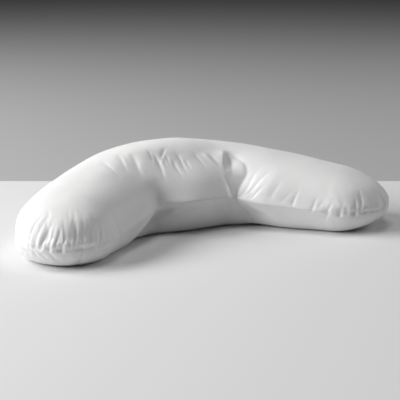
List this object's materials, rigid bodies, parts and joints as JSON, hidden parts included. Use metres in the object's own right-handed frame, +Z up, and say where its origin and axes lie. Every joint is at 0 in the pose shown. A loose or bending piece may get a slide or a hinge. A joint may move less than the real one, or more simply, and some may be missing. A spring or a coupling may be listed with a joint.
{
  "type": "v-shaped pillow",
  "caption": "Filled V-shaped pillow in plain white cotton with one seam all round, lying on its flattened underside; supports a head, back, bump or knees.",
  "frame": {"origin": "bottom centre of the pillow's box, on the surface it lies on", "axes": "+X along the spread from one arm's end to the other, +Y to the back of the V, +Z up"},
  "size_m": [1.0684, 0.5316, 0.232],
  "materials": {
    "cotton": "fine plain-weave white cotton ticking, matt with a faint sheen"
  },
  "bodies": {
    "root": {"pillow": "cotton"}
  },
  "joints": []
}
